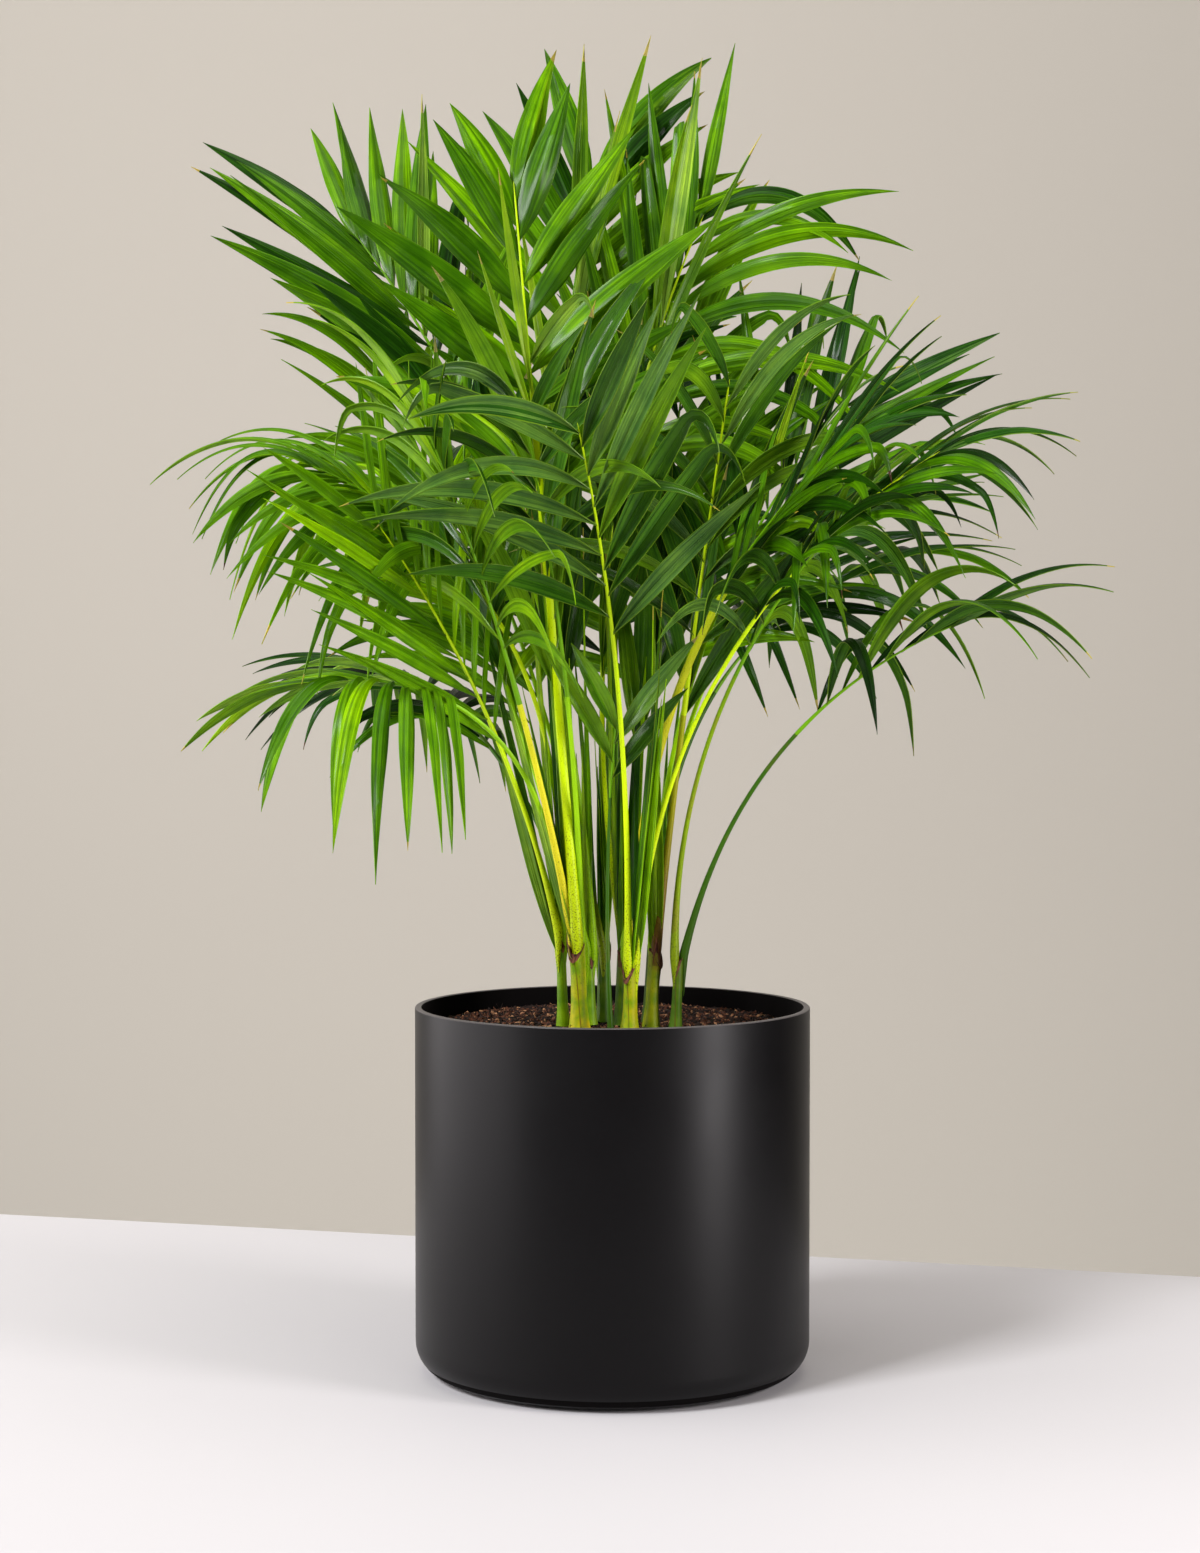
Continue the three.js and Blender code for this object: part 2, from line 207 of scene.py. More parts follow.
def piece_of(name, mesh, finishes, sharp=40):
    """A finished mesh as a piece that shows, smooth but for its sharp edges."""
    for face in mesh.faces:
        face.smooth = True
    data = mesh_data(name, mesh)
    data.set_sharp_from_angle(angle=math.radians(sharp))
    for finish in finishes:
        data.materials.append(finish.material)
    piece = in_scene(name, data)
    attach(piece, "root")
    return piece


foot_centre = pot_radius - pot_foot_round
pot_profile = [(0, 0), (foot_centre * 0.5, 0)]
pot_profile += arc((foot_centre, pot_foot_round), pot_foot_round, -90, 0, foot_steps)
rim_centre = pot_radius - pot_rim_round
pot_profile += arc((rim_centre, pot_height - pot_rim_round), pot_rim_round, 0, 90, rim_steps)
lip_centre = pot_radius - pot_wall + pot_rim_round
pot_profile += arc((lip_centre, pot_height - pot_rim_round), pot_rim_round, 90, 180, rim_steps)
inner_round = pot_foot_round - pot_wall
pot_profile += arc((foot_centre, pot_floor + inner_round), inner_round, 0, -90, inner_steps)
pot_profile += [(0, pot_floor)]

black_glaze = Finish("matte_black_glaze", {"Specular IOR Level": 0.16})
cloud = black_glaze.grain(45, detail=3)
speck = black_glaze.grain(0.7)
height = black_glaze.part(black_glaze.place(), "Z")
# The paler band along the top of the rim is a painted highlight.
rim_highlight = height > (pot_height - rim_highlight_band) * MM
body_tone = black_glaze.mix(cloud, tone(4, 3, 4), tone(7, 6, 7))
glaze_with_rim_highlight = black_glaze.mix(rim_highlight, body_tone, tone(78, 74, 74))
pits = black_glaze.relief(speck, 0.04, 0.25)
black_glaze.feed({"Base Color": glaze_with_rim_highlight, "Roughness": cloud * 0.1 + 0.33, "Normal": pits})
bare_inside = Finish(
    "bare_inside", {"Base Color": tone(9, 7, 7), "Roughness": 0.9, "Specular IOR Level": 0.05}
)
vessel = turned(pot_profile, pot_sides)
for face in vessel.faces:
    middle = face.calc_center_median()
    within_wall = middle.xy.length < (pot_radius - pot_wall + glaze_lap) * MM
    if within_wall and middle.z > pot_floor / 2 * MM:
        face.material_index = 1
pot = piece_of("pot_body", vessel, [black_glaze, bare_inside], sharp=30)
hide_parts("pot")


# The potting mix
# Dark peat with coarse bark chips and coir, filled to just under the rim, a little mounded round
# the clump and lower towards the wall. The chips lie loose on the top.
soil_low, soil_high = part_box("soil")
soil_radius = soil_high[0] / MM
soil_top = soil_high[2] / MM
soil_floor = soil_low[2] / MM
soil_flat = 48
soil_edge_drop = 1.5
soil_tilt = 0.025
soil_rings = 20
soil_sides = 120
chip_count = 4400
crumb_count = 2600
fibre_count = 260
handful = 80
wall_clear = 2.5
bit_sunk = 0.6
peat_sunk = 0.5
lumps_per_metre = 260
lump_least = -0.6
lump_range = 1.3
bit_pitch = 0.45
bit_roll = 0.5
chip_skew = 0.22
chip_long = (1.2, 4.2)
chip_wide = (0.6, 1.5)
chip_high = (0.4, 1.1)
crumb_lump = (0.7, 1.25)
crumb_size = (0.9, 3.2)
fibre_long = (6, 14)
random.seed(11)


def soil_level(x, y):
    """The height of the mix, which falls towards the wall and lies a little lower at the front."""
    out = max(0.0, (math.hypot(x, y) - soil_flat) / (soil_radius - soil_flat))
    return soil_top - soil_edge_drop * out**2 + soil_tilt * y


def spot_on_soil():
    """A random place on the mix, a little below its top."""
    radius = (soil_radius - wall_clear) * math.sqrt(random.random())
    around = random.uniform(0, math.tau)
    x, y = radius * math.cos(around), radius * math.sin(around)
    return Vector((x, y, soil_level(x, y) - bit_sunk))


soil_profile = [(0, soil_floor)]
soil_centre = (soil_radius - inner_round, soil_floor + inner_round)
soil_profile += arc(soil_centre, inner_round, -90, 0, inner_steps)
soil_profile += [(soil_radius * share, soil_top) for share in (1, 0.97, 0.93)]
soil_profile += [(soil_radius * step / soil_rings, soil_top) for step in range(soil_rings - 2, -1, -1)]
bed = turned(soil_profile, soil_sides)
for vertex in bed.verts:
    if vertex.co.z > (soil_top - 0.1) * MM:
        vertex.co.z = (soil_level(vertex.co.x / MM, vertex.co.y / MM) - peat_sunk) * MM
        if vertex.co.xy.length < (soil_radius - 1) * MM:
            lump = noise.noise(vertex.co * lumps_per_metre) * lump_range + lump_least
            vertex.co.z += lump * MM

peat = Finish("damp_peat", {"Roughness": 0.95, "Specular IOR Level": 0.2})
lumps = peat.grain(2.2, detail=6)
peat_color = peat.mix(lumps, tone(8, 5, 4), tone(40, 23, 15))
peat.feed({"Base Color": peat_color, "Normal": peat.relief(lumps, 1.2, 0.9)})
soil = piece_of("potting_mix", bed, [peat])
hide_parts("soil")


def bark_finish(name, dark, light):
    bark = Finish(name, {"Roughness": 0.8, "Specular IOR Level": 0.3})
    streak = bark.grain(1.6, stretch=(1, 1, 3), detail=4)
    bark.feed({"Base Color": bark.mix(streak, dark, light), "Normal": bark.relief(streak, 0.3, 0.6)})
    return bark


bark_finishes = [
    bark_finish("bark_dark", tone(10, 5, 4), tone(46, 26, 17)),
    bark_finish("bark_red", tone(34, 17, 11), tone(112, 64, 40)),
    bark_finish("bark_pale", tone(112, 66, 42), tone(200, 150, 108)),
]
bark_shares = (6, 3.4, 1.1)


def scatter(pile, count, make):
    """Many loose bits on the mix, each turned its own way. They are made a handful at a time,
    because each new bit is slower in a larger mesh."""
    for start in range(0, count, handful):
        mesh = bmesh.new()
        for _ in range(min(handful, count - start)):
            verts, size = make(mesh)
            turn = Matrix.Rotation(random.uniform(0, math.tau), 3, "Z")
            turn @= Matrix.Rotation(random.gauss(0, bit_pitch), 3, "Y")
            turn @= Matrix.Rotation(random.gauss(0, bit_roll), 3, "X")
            spot = spot_on_soil()
            finish = random.choices(range(len(bark_finishes)), bark_shares)[0]
            for vertex in verts:
                vertex.co = (turn @ (vertex.co * Vector(size)) + spot) * MM
            for face in {face for vertex in verts for face in vertex.link_faces}:
                face.material_index = finish
        move_into(pile, mesh)


def chip(mesh):
    """An uneven flake of bark, with its length, width and height."""
    verts = bmesh.ops.create_cube(mesh, size=1)["verts"]
    for vertex in verts:
        vertex.co += Vector([random.uniform(-chip_skew, chip_skew) for _ in range(3)])
    return verts, [random.uniform(*bounds) for bounds in (chip_long, chip_wide, chip_high)]


def crumb(mesh):
    """A lump of peat of no regular shape."""
    verts = bmesh.ops.create_icosphere(mesh, subdivisions=1, radius=0.5)["verts"]
    for vertex in verts:
        vertex.co *= random.uniform(*crumb_lump)
    size = random.uniform(*crumb_size)
    return verts, (size * 1.3, size, size * 0.8)


def fibre(mesh):
    """A straight thread of coir."""
    verts = bmesh.ops.create_cube(mesh, size=1)["verts"]
    return verts, (random.uniform(*fibre_long), 0.35, 0.3)


bits = bmesh.new()
scatter(bits, chip_count, chip)
scatter(bits, crumb_count, crumb)
scatter(bits, fibre_count, fibre)
top_dressing = piece_of("bark_chips", bits, bark_finishes, sharp=35)


# The canes
# Short young stems, each wrapped in the green sheath of its oldest leaf. The sheath's margins
# overlap down one side, and its mouth dips to that seam, with a dried edge and a torn point.
gap = 0.3
cane_flare = 0.26
flare_fade = 3
cane_taper = 0.26
# Each cane's foot, lean, height and radius. Then its sheath: the bearing of the seam in degrees,
# how far the mouth gapes and the flap stands up, and how many young leaves splay out of it.
canes = {
    "a": dict(at=(-27, -4), lean=(-1.5, 0), tall=51, stout=3.28, seam=300, open=0.6, flap=4, young=8,
              splay=0.55, skin="fresh"),
    "b": dict(at=(-18, -17), lean=(-1, 0), tall=47, stout=5.016, seam=248, open=3.6, flap=7, young=8,
              splay=0.5, skin="yellow"),
    "c": dict(at=(-12, 2), lean=(-1, 1), tall=41, stout=3.36, seam=300, open=0.8, flap=4, young=8,
              splay=0.5, skin="fresh"),
    "d": dict(at=(-5, 16), lean=(0, 2), tall=39, stout=3.8, seam=40, open=1.2, flap=5, young=7,
              splay=0.2, skin="old"),
    "f": dict(at=(9, -23), lean=(1, -1), tall=36, stout=4.4, seam=236, open=2.4, flap=2, young=6,
              splay=0.3, skin="yellow"),
    "g": dict(at=(21, -9), lean=(1.5, 0), tall=43, stout=4.2, seam=318, open=2.6, flap=7, young=3,
              splay=0.1, skin="ripe"),
    "h": dict(at=(34, -15), lean=(2, -1), tall=39, stout=3.2, seam=235, open=0.8, flap=2, young=0,
              splay=0.0, skin="old"),
    "i": dict(at=(4, 0), lean=(1, 1), tall=41, stout=3.4, seam=290, open=0.8, flap=3, young=7,
              splay=0.1, skin="old"),
    "j": dict(at=(20, 11), lean=(2, 2), tall=43, stout=3.6, seam=60, open=1.2, flap=5, young=5,
              splay=0.3, skin="old"),
}
cane_sides = 40
cane_steps = 30
sheath_lap = 0.12
sheath_fit = 0.96
seam_twist = 32
mouth_from = 0.55
open_from = 0.35
open_half = 1.1
open_power = 1.5
dry_mouth = 0.96
mouth_dip = 11
mouth_open = 0.8
flap_aside = -34
flap_half = 0.5
flap_low = -9
flap_cuts = 20
flap_narrowing = 0.3
flap_point = 1.3
flap_fall = 5
flap_torn = 2.5
flap_clear = 0.25
flap_curl = 0.7
flap_thick = 0.35
torn_rate = 4
dry_slope = 0.6
dry_jag = 0.3
jag_across = 9
jag_along = 3


def cane_foot(cane):
    return Vector((*cane["at"], soil_top + gap))


def cane_top(cane):
    return cane_foot(cane) + Vector((*cane["lean"], cane["tall"]))


def rod(mesh, sides, steps, move, finish_at):
    """A round rod of unit size, cut along its length and bent to its place by move, which gives a
    point's place from its share of the length and its place across. Its UV map holds the share
    round it and the share along it."""
    bmesh.ops.create_cone(mesh, cap_ends=True, segments=sides, radius1=1, radius2=1, depth=1)
    long_edges = [edge for edge in mesh.edges if abs(edge.verts[0].co.z - edge.verts[1].co.z) > 0.5]
    bmesh.ops.subdivide_edges(mesh, edges=long_edges, cuts=steps - 1)
    uv_map = mesh.loops.layers.uv.verify()
    for face in mesh.faces:
        middle = face.calc_center_median()
        around = math.atan2(middle.y, middle.x)
        for loop in face.loops:
            at = loop.vert.co
            turn = (math.atan2(at.y, at.x) - around + math.pi) % math.tau - math.pi + around
            loop[uv_map].uv = (turn / math.tau + 0.5, at.z + 0.5)
        face.material_index = finish_at(middle.z + 0.5)
    for vertex in mesh.verts:
        vertex.co = move(vertex.co.z + 0.5, vertex.co.x, vertex.co.y) * MM


def around_seam(cane, turn):
    """The turn from a sheath's seam, from -pi to pi."""
    return (turn - math.radians(cane["seam"]) + math.pi) % math.tau - math.pi


def sheath_radius(cane, along, turn):
    """A sheath's radius at a share of its height and at a turn from its seam."""
    flare = max(0, 1 - along * flare_fade) ** 2 * cane_flare
    wrapped = sheath_fit - cane_taper * along + flare + sheath_lap * turn / math.tau
    near_mouth = max(0, along - open_from) / (1 - open_from)
    near_seam = math.exp(-((turn / open_half) ** 2))
    opened = cane["open"] * near_seam * min(1, near_mouth) ** open_power
    return cane["stout"] * wrapped + opened


def torn_flap(mesh, cane):
    """The free end of a sheath, which stands up beside the seam to a torn point and has dried
    above a ragged line."""
    top = cane_top(cane)
    made = bmesh.ops.create_grid(mesh, x_segments=flap_cuts, y_segments=flap_cuts, size=0.5)
    faces = {face for vertex in made["verts"] for face in vertex.link_faces}
    for face in faces:
        middle = face.calc_center_median()
        spot = Vector((middle.x * jag_across, middle.y * jag_along, cane["tall"]))
        dried = middle.y + abs(middle.x) * dry_slope > noise.noise(spot) * dry_jag
        face.material_index = 1 if dried else 0
    for vertex in made["verts"]:
        across = vertex.co.x * 2
        high = vertex.co.y + 0.5
        turn = math.radians(flap_aside) + across * flap_half * (1 - flap_narrowing * high)
        torn = noise.noise(Vector((across * torn_rate, cane["tall"], 0))) * flap_torn
        point = cane["flap"] * (1 - abs(across) ** flap_point) - flap_fall * abs(across) + torn
        rise = flap_low + high * (point - flap_low)
        radius = sheath_radius(cane, 1 + rise / cane["tall"], turn) + flap_clear + flap_curl * high**4
        around = turn + math.radians(cane["seam"])
        vertex.co = (top + Vector((math.cos(around) * radius, math.sin(around) * radius, rise))) * MM
    bmesh.ops.solidify(mesh, geom=list(faces), thickness=flap_thick * MM)


def sheath(mesh, cane):
    """The sheath tapers up to its stalks. Its seam winds a little round it, and the mouth dips to
    the seam. Its UV map holds the share round from the seam and the share up."""
    foot = cane_foot(cane)
    top = cane_top(cane)

    def move(along, x, y):
        wound = math.radians(seam_twist) * (1 - along)
        turn = around_seam(cane, math.atan2(y, x) - wound)
        radius = sheath_radius(cane, along, turn)
        dip = mouth_dip * math.exp(-((turn / mouth_open) ** 2)) * max(0, along - mouth_from) ** 2
        rise = -dip / (1 - mouth_from) ** 2
        return foot.lerp(top, along) + Vector((x * radius, y * radius, rise))

    rod(mesh, cane_sides, cane_steps, move, lambda along: 1 if along > dry_mouth else 0)
    uv_map = mesh.loops.layers.uv.verify()
    for face in mesh.faces:
        spots = [loop[uv_map].uv for loop in face.loops]
        shifts = [(cane["seam"] + seam_twist * (1 - spot.y)) / 360 + 0.5 for spot in spots]
        whole = math.floor(sum(spot.x - shift for spot, shift in zip(spots, shifts)) / len(spots))
        for spot, shift in zip(spots, shifts):
            spot.x -= shift + whole


def sheath_finish(name, low_tones, high_tones, blush):
    """Smooth fibrous skin, paler where it is young, with a brown line where the margins meet."""
    skin = Finish(name, {"Specular IOR Level": 0.2})
    spot = skin.place("UV")
    around = skin.part(spot, "X")
    along = skin.part(spot, "Y")
    fibres = skin.grain(1.1, stretch=(1, 1, 0.06), detail=3)
    blotch = skin.span(skin.grain(9, detail=3), 0.35, 0.65)
    flecks = skin.grain(0.8, stretch=(1, 1, 0.6))
    low = skin.mix(blotch, *low_tones)
    high = skin.mix(blotch, *high_tones)
    color = skin.shade(skin.mix(along, low, high), fibres * 0.5 + 0.76)
    flecked = skin.span(flecks, 0.6, 0.68) * skin.span(along, 0.2, 1.0) * 0.8
    color = skin.mix(flecked, color, tone(54, 34, 14))
    color = skin.mix(skin.span(blotch * along, 0.35, 0.9) * blush, color, tone(96, 42, 40))
    margin = skin.span(abs(around - 0.5), 0.48, 0.496)
    color = skin.mix(margin * (blotch * 0.5 + 0.35), color, tone(84, 44, 26))
    ridges = skin.relief(fibres, 0.25, 0.5)
    skin.feed({"Base Color": color, "Roughness": fibres * 0.2 + 0.36, "Normal": ridges})
    return skin


sheath_tones = {
    "fresh": ((tone(92, 134, 4), tone(130, 168, 8)), (tone(84, 128, 4), tone(114, 154, 6)), 0.0),
    "yellow": ((tone(118, 158, 4), tone(204, 188, 10)), (tone(108, 152, 4), tone(160, 178, 10)), 0.1),
    "ripe": ((tone(112, 142, 6), tone(158, 168, 12)), (tone(108, 132, 8), tone(142, 148, 16)), 0.4),
    "old": ((tone(50, 86, 4), tone(80, 112, 8)), (tone(54, 84, 4), tone(82, 104, 10)), 0.25),
}
sheath_finishes = {name: sheath_finish(f"sheath_{name}", *tones) for name, tones in sheath_tones.items()}
dry_tones = (tone(44, 15, 18), tone(116, 72, 50))
dry_edge = Finish("dried_sheath_edge", {"Roughness": 0.8, "Specular IOR Level": 0.2})
dry_fibres = dry_edge.grain(1.2, stretch=(1, 1, 0.2), detail=4)
dry_color = dry_edge.mix(dry_edge.span(dry_fibres, 0.35, 0.65), *dry_tones)
dry_edge.feed({"Base Color": dry_color, "Normal": dry_edge.relief(dry_fibres, 0.3, 0.7)})
for letter, cane in canes.items():
    wrap = bmesh.new()
    sheath(wrap, cane)
    collar = bmesh.new()
    torn_flap(collar, cane)
    move_into(wrap, collar)
    cane_piece = piece_of(f"cane_{letter}_sheath", wrap, [sheath_finishes[cane["skin"]], dry_edge])
    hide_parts(f"cane_{letter}")


# The stalks and ribs
# Each frond hangs on one smooth stalk, channelled on its upper side, which clasps the cane at its
# foot and thins into the rib that the leaflets stand on. Young ones are yellow-green, old dark.
usual = dict(
    pairs=9, below=0, long=125, wide=9.9, spread=(60, 25), lift=12, droop=(0.3, 0.3), least_curl=0,
    roll=0, skew=0, stout=0.84, leaf="dark", stalk="green", rib="green",
)
# Each frond's seat round its cane in degrees, its neck, where the leaflets begin, and its tip. Then
# its leaflets: the pairs above and below the neck, their length and width, their angles with the
# rib at the neck and at the tip, their lift out of its plane and their droop on either side.
# The leaf tones differ from frond to frond. They are lighter on the fronds at the left and darker on
# most at the right: partly the fronds' own colour and partly painted light and shade from the key box at
# the upper left.
fronds = [
    dict(cane="b", seat=270, neck=(-41, -24, 505), tip=(-54, 8, 650), pairs=6.3, below=2, long=122,
         wide=18.36, spread=(66, 8), droop=(0.1, 0.1), least_curl=1, roll=-40, stout=1.45,
         leaf="bright", stalk="yellow", rib="yellow"),
    dict(cane="c", seat=20, neck=(-88, 40, 540), tip=(-147, 80, 633), below=4, long=145, wide=14.7,
         spread=(40, 14), lift=15, droop=(0.1, 0.1), roll=-35, leaf="mid"),
    dict(cane="d", seat=270, neck=(-29, 55, 519), tip=(-10, 95, 670), pairs=8.1, below=3, long=135,
         wide=15.64, spread=(50, 22), lift=15, droop=(0.12, 0.2), leaf="mid", stalk="olive"),
    dict(cane="i", seat=60, neck=(10, 40, 512), tip=(52, 70, 642), below=3, long=150, wide=11.05,
         spread=(42, 20), lift=15, droop=(0.1, 0.6), roll=25, skew=12, leaf="mid", stalk="yellow",
         rib="yellow"),
    dict(cane="g", seat=110, neck=(64, 20, 430), tip=(135, 60, 537), below=2, long=135, wide=9.8,
         spread=(42, 20), lift=15, droop=(0.1, 0.1), roll=50),
    dict(cane="h", seat=20, neck=(104, -40, 356), tip=(186, -70, 410), pairs=5.25, long=140,
         spread=(36, 16), lift=62, droop=(0.8, 0.8), roll=5, stalk="dark"),
    dict(cane="h", seat=200, neck=(68, -40, 386), tip=(128, -66, 470), pairs=7, long=115, wide=8.58,
         spread=(62, 26), lift=30, droop=(0.9, 0.9), stalk="olive"),
    dict(cane="f", seat=225, neck=(0, -70, 399), tip=(-18, -140, 505), pairs=7, long=140, wide=11.9,
         spread=(50, 38), droop=(0.1, 0.4), roll=10, skew=9, leaf="grey", stalk="yellow",
         rib="yellow"),
    dict(cane="a", seat=250, neck=(-65, -34, 354), tip=(-122, -60, 458), pairs=9.9, below=1,
         long=155, wide=8.68, spread=(44, 34), lift=8, droop=(0.06, 0.06), roll=-60, leaf="fresh",
         stalk="yellow", rib="yellow"),
    dict(cane="a", seat=10, neck=(-91, -66, 369), tip=(-152, -95, 378), pairs=8, below=1, long=120,
         wide=10.36, spread=(75, 30), lift=15, droop=(2.2, 0.5), roll=-10, leaf="fresh"),
    dict(cane="a", seat=130, neck=(-90, -14, 446), tip=(-160, -38, 492), pairs=13.5, below=3,
         long=140, wide=8.68, spread=(45, 25), droop=(1.0, 1.0), roll=-35, leaf="fresh",
         stalk="yellow"),
    dict(cane="b", seat=150, neck=(-52, -57, 376), tip=(-98, -112, 515), pairs=11, below=-1,
         wide=7.84, droop=(0.5, 0.5), roll=-20, stout=1.1, leaf="mid", stalk="cream"),
    dict(cane="g", seat=300, neck=(40, -8, 370), tip=(61, -62, 535), below=-1, wide=9,
         droop=(0.5, 0.5), stout=1.1, stalk="bronze", rib="yellow"),
    dict(cane="f", seat=70, neck=(66, -32, 436), tip=(122, -62, 504), pairs=8.8, below=2, wide=8.96,
         spread=(50, 20), roll=30, stout=1.55, stalk="cream"),
    dict(cane="f", seat=340, neck=(82, -64, 420), tip=(166, -104, 494), pairs=10.8, below=2,
         long=132, wide=7.8, spread=(45, 22), droop=(0.6, 0.6), roll=25, stalk="yellow", rib="yellow"),
    dict(cane="i", seat=300, neck=(19, 28, 366), tip=(45, 88, 580), pairs=9.9, long=130, wide=11.25,
         spread=(60, 22), leaf="mid"),
    dict(cane="c", seat=250, neck=(-64, 23, 390), tip=(-126, 60, 548), pairs=11, below=2, wide=9.24,
         spread=(55, 22), roll=-20, leaf="fresh"),
    dict(cane="b", seat=30, neck=(-25, -55, 378), tip=(-47, -124, 520), pairs=7.2, below=-3,
         long=110, wide=8.4, droop=(0.5, 0.5)),
    dict(cane="d", seat=50, neck=(-5, 78, 390), tip=(14, 190, 562), pairs=10, long=130, wide=10.8,
         lift=15, stalk="dark"),
    dict(cane="d", seat=160, neck=(-56, 90, 410), tip=(-108, 196, 510), pairs=10.8, below=4,
         long=130, wide=10.8, lift=15, leaf="mid"),
    dict(cane="j", seat=60, neck=(68, 80, 405), tip=(158, 176, 486), pairs=9.9, below=1, long=130,
         lift=15),
    dict(cane="j", seat=330, neck=(62, 46, 378), tip=(165, 105, 452), pairs=8.8, below=-1, wide=9,
         spread=(58, 25), lift=20, droop=(0.7, 0.7), stalk="dark"),
    dict(cane="c", seat=140, neck=(-84, 66, 356), tip=(-150, 142, 385), pairs=9.6, below=3, long=112,
         wide=9.24, lift=20, droop=(0.8, 0.8), stalk="dark"),
    dict(start=(-1, -31), neck=(-1, -36, 320), tip=(2, -44, 360), pairs=2, long=78, wide=12,
         spread=(34, 22), droop=(0.1, 0.1), stalk="dark"),
]
stalk_foot = 1.75
stalk_neck = 1.45
rib_tip = 0.5
seat_out = 2.6
young_slim = 0.7
face_up = 0.6
face_in = 0.8
stalk_sides = 12
stalk_steps = 72
clasp_swell = 1.15
clasp_reach = 30
clasp_depth = 22
sunk_share = 0.92
groove = 0.32
groove_from = 0.2
stout_fade = 0.25
stout_rib = 0.95
tip_share = 0.04
tip_thin = 0.3
up = Vector((0, 0, 1))


class Frond:
    """One frond's line, from the foot of its stalk through its neck to its tip."""

    def __init__(self, number, row):
        self.__dict__.update({**usual, **row})
        self.number = number
        self.label = f"{number:02d}"
        if "cane" in row:
            seat = math.radians(self.seat)
            out = Vector((math.cos(seat), math.sin(seat), 0)) * seat_out
            self.foot = cane_top(canes[self.cane]) + out + up * gap
        else:
            self.foot = Vector((*self.start, soil_top + gap))
        self.slim = 1 if "cane" in row else young_slim
        self.neck = Vector(self.neck)
        self.tip = Vector(self.tip)
        below = (self.neck - self.foot).length
        above = (self.tip - self.neck).length
        self.total = below + above
        s = below / self.total
        self.share = s
        self.knee = (self.neck - self.foot * (1 - s) ** 2 - self.tip * s**2) / (2 * s * (1 - s))

    def point(self, t):
        """The place at a share of the whole line."""
        return self.foot * (1 - t) ** 2 + self.knee * 2 * t * (1 - t) + self.tip * t**2

    def frame(self, t):
        """Its heading, the side that faces up and in, and the direction across."""
        heading = ((self.knee - self.foot) * (1 - t) + (self.tip - self.knee) * t).normalized()
        outward = (self.tip - self.foot) * Vector((1, 1, 0))
        face = up * face_up - outward.normalized() * face_in
        face = (face - heading * face.dot(heading)).normalized()
        face = Matrix.Rotation(math.radians(self.roll), 3, heading) @ face
        return heading, face, heading.cross(face)

    def thickness(self, t):
        """The radius, which shrinks slowly up the stalk and faster along the rib."""
        if t < self.share:
            radius = stalk_foot + (stalk_neck - stalk_foot) * t / self.share
        else:
            along_rib = (t - self.share) / (1 - self.share)
            radius = stalk_neck + (rib_tip - stalk_neck) * math.sqrt(along_rib)
        return radius * self.slim


def limb(mesh, frond):
    """A stalk with its rib, as one tapering rod with a channel along its upper side."""
    reach = clasp_depth / frond.total

    def move(along, x, y):
        t = along * (1 + reach) - reach
        heading, face, across = frond.frame(max(t, 0))
        clasp = clasp_swell * frond.slim * math.exp(-max(t, 0) * frond.total / clasp_reach)
        channel = groove * max(0, y) ** 4 * min(1, max(t, 0) / groove_from)
        sunk = min(1, max(0, -t / reach))
        past_neck = min(1, max(0, t - frond.share) / (1 - frond.share) / stout_fade)
        stout = frond.stout + (stout_rib - frond.stout) * past_neck
        point = min(1, tip_thin + (1 - t) / tip_share)
        radius = (frond.thickness(max(t, 0)) * stout * point + clasp) * (1 - sunk_share * sunk)
        middle = frond.point(max(t, 0)) + up * min(t, 0) * frond.total
        return middle + across * x * radius + face * y * radius * (1 - channel)

    rod(mesh, stalk_sides, stalk_steps, move, lambda along: 1 if along > frond.share else 0)


def stalk_finish(name, foot_tone, middle_tone, neck_tone, specks, blush):
    """A stalk's skin, from its foot to its neck, with fine specks near the foot."""
    skin = Finish(name, {"Specular IOR Level": 0.16, "Roughness": 0.4})
    along = skin.part(skin.place("UV"), "Y")
    low = skin.span(along, 0.02, 0.3)
    high = skin.span(along, 0.3, 0.75)
    color = skin.mix(high, skin.mix(low, foot_tone, middle_tone), neck_tone)
    patches = skin.grain(16, stretch=(1, 1, 0.4))
    color = skin.shade(color, patches * 0.5 + 0.75)
    color = skin.mix((patches > 0.6) * blush, color, tone(132, 84, 46))
    specked = skin.grain(0.5, stretch=(1, 1, 0.6), detail=1) > low * 0.1 + 0.59
    color = skin.mix(specked * (1 - low * 0.5) * specks, color, tone(46, 40, 12))
    fine = skin.grain(0.9, stretch=(1, 1, 0.05))
    skin.feed({"Base Color": color, "Normal": skin.relief(fine, 0.12, 0.4)})
    return skin


stalk_tones = {
    "yellow": ("yellow_green", tone(182, 204, 2), tone(202, 230, 0), tone(176, 214, 0), 0.9, 0.0),
    "green": ("green", tone(136, 180, 0), tone(148, 200, 0), tone(122, 180, 0), 0.5, 0.0),
    "olive": ("olive", tone(112, 130, 2), tone(128, 158, 0), tone(104, 146, 0), 0.9, 0.25),
    "dark": ("dark_green", tone(44, 74, 2), tone(50, 92, 2), tone(46, 88, 2), 0.4, 0.1),
    "cream": ("cream", tone(198, 192, 20), tone(222, 212, 34), tone(152, 180, 4), 1.0, 0.0),
    "bronze": ("bronze", tone(96, 46, 42), tone(156, 154, 12), tone(158, 182, 2), 0.6, 0.2),
}
stalk_finishes = {
    name: stalk_finish(f"stalk_{hue}", *tones) for name, (hue, *tones) in stalk_tones.items()
}
rib_tones = {
    "yellow": (tone(192, 218, 0), tone(192, 218, 0), tone(174, 206, 0)),
    "green": (tone(106, 158, 0), tone(106, 158, 0), tone(96, 148, 0)),
}
rib_finishes = {name: stalk_finish(f"rib_{name}", *tones, 0.0, 0.0) for name, tones in rib_tones.items()}
grown_fronds = [Frond(number, row) for number, row in enumerate(fronds, start=1)]
